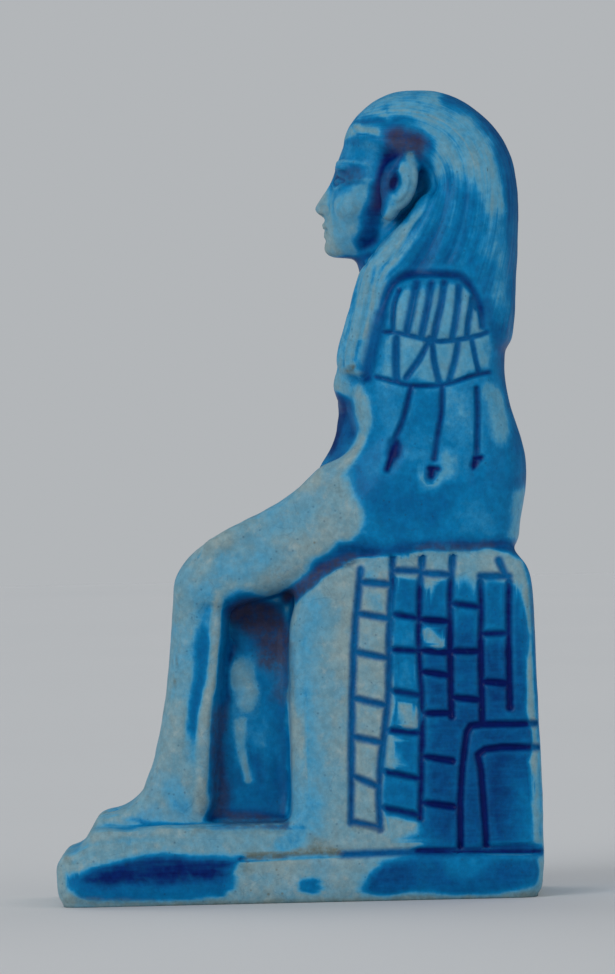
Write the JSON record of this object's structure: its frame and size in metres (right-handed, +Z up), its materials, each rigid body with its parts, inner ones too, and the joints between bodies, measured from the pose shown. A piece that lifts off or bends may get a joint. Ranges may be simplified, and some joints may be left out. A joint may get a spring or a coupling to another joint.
{
  "type": "seated faience figure",
  "caption": "Seated figure of a woman in a long wig on a block-carved throne and stepped plinth, moulded in blue-glazed faience.",
  "frame": {"origin": "middle of the plinth's underside, which is the bottom centre of the box around the figure", "axes": "+Z up; -Y the way the sitter faces; +X the sitter's left"},
  "size_m": [0.0279, 0.0604, 0.1001],
  "materials": {
    "blue_faience_glaze": "glossy blue glaze, pale grey-turquoise where it runs thin and deep cobalt where it pools"
  },
  "bodies": {
    "root": {"seated_figure": "blue_faience_glaze"}
  },
  "joints": []
}
